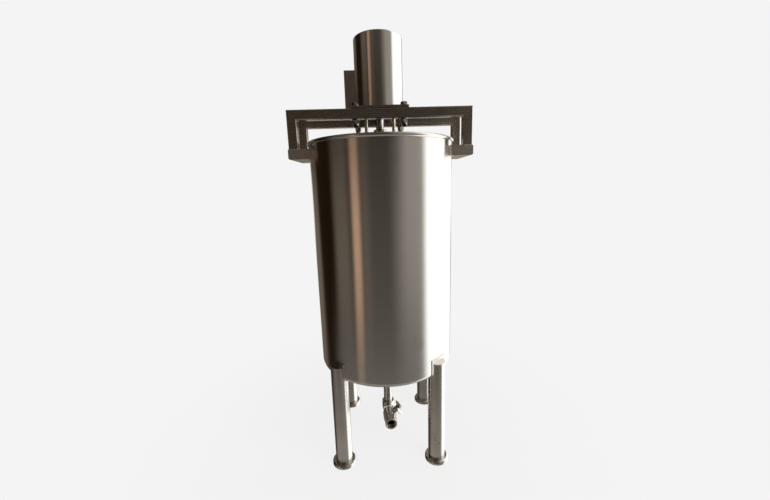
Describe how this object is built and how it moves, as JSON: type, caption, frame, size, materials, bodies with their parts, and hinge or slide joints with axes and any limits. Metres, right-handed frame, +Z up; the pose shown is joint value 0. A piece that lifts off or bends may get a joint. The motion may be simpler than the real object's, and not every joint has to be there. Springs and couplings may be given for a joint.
{
  "type": "blending tank",
  "caption": "Open stainless mixing vessel on tube legs, with a bridge over its mouth that carries a covered motor and a high-shear head, and a ball valve at its bottom outlet.",
  "frame": {"origin": "on the floor under the tank's axis", "axes": "+Z up along the tank's axis, -Y towards the front where the outlet valve opens, +X to the right"},
  "size_m": [0.616, 0.515, 1.495],
  "materials": {
    "satin_stainless": "satin, brushed round the axis",
    "bead_stainless": "ground and polished round bar",
    "leg_stainless": "satin tube, brushed along its length",
    "polished_stainless": "turned and polished",
    "frame_stainless": "dull mill finish",
    "box_stainless": "dull folded sheet",
    "fastener_stainless": "bright cold-formed",
    "shaft_stainless": "turned and polished",
    "cast_stainless": "cast, blasted and polished",
    "motor_casting": "painted casting",
    "core_steel": "stacked sheet, turned",
    "bearing_steel": "ground",
    "fan_plastic": "moulded",
    "gland_plastic": "moulded nylon",
    "ptfe": "machined"
  },
  "bodies": {
    "root": {"box_lid": "box_stainless", "box_screws": "fastener_stainless", "cable_glands": "gland_plastic", "cover_screws": "fastener_stainless", "dome_nuts": "fastener_stainless", "ear_left": "frame_stainless", "ear_right": "frame_stainless", "foot_front_left": "polished_stainless", "foot_front_right": "polished_stainless", "foot_rear_left": "polished_stainless", "foot_rear_right": "polished_stainless", "foot_screws": "fastener_stainless", "head_nuts": "fastener_stainless", "head_plate": "shaft_stainless", "junction_box": "box_stainless", "leg_front_left": "leg_stainless", "leg_front_right": "leg_stainless", "leg_pads": "leg_stainless", "leg_rear_left": "leg_stainless", "leg_rear_right": "leg_stainless", "lid_screws": "fastener_stainless", "motor_bearings": "bearing_steel", "motor_cover": "satin_stainless", "motor_end_shield": "motor_casting", "motor_flange": "motor_casting", "motor_housing": "motor_casting", "motor_plate": "frame_stainless", "motor_screws": "fastener_stainless", "outlet_elbow": "leg_stainless", "outlet_pipe": "leg_stainless", "plate_bolts": "fastener_stainless", "plate_washers": "fastener_stainless", "post_front_left": "frame_stainless", "post_front_right": "frame_stainless", "post_rear_left": "frame_stainless", "post_rear_right": "frame_stainless", "rail_front": "frame_stainless", "rail_rear": "frame_stainless", "rim_bead": "bead_stainless", "shaft_bushes": "ptfe", "stator_screen": "shaft_stainless", "steady_plate": "shaft_stainless", "tank_shell": "satin_stainless", "tie_rods": "shaft_stainless", "valve_body": "cast_stainless", "valve_gland_nut": "cast_stainless", "valve_seats": "ptfe", "valve_tail": "cast_stainless"},
    "mixer_rotor": {"motor_shaft": "shaft_stainless", "rotor_core": "core_steel", "cooling_fan": "fan_plastic", "shaft_coupling": "shaft_stainless", "coupling_screws": "fastener_stainless", "mixer_shaft": "shaft_stainless", "shear_rotor": "shaft_stainless", "rotor_nut": "fastener_stainless"},
    "valve_spindle": {"valve_ball": "cast_stainless", "valve_stem": "cast_stainless", "valve_handle": "cast_stainless", "valve_handle_nut": "fastener_stainless"}
  },
  "joints": [
    {"name": "mixer_spin", "type": "hinge", "parent": "root", "child": "mixer_rotor", "pos_m": [0, 0, 1.2], "axis": [0, 0, 1], "continuous": true},
    {"name": "valve_turn", "type": "hinge", "parent": "root", "child": "valve_spindle", "pos_m": [0.00447, -0.06084, 0.1], "axis": [0.7174, 0.0527, 0.6947], "range_deg": [0, 90]}
  ]
}
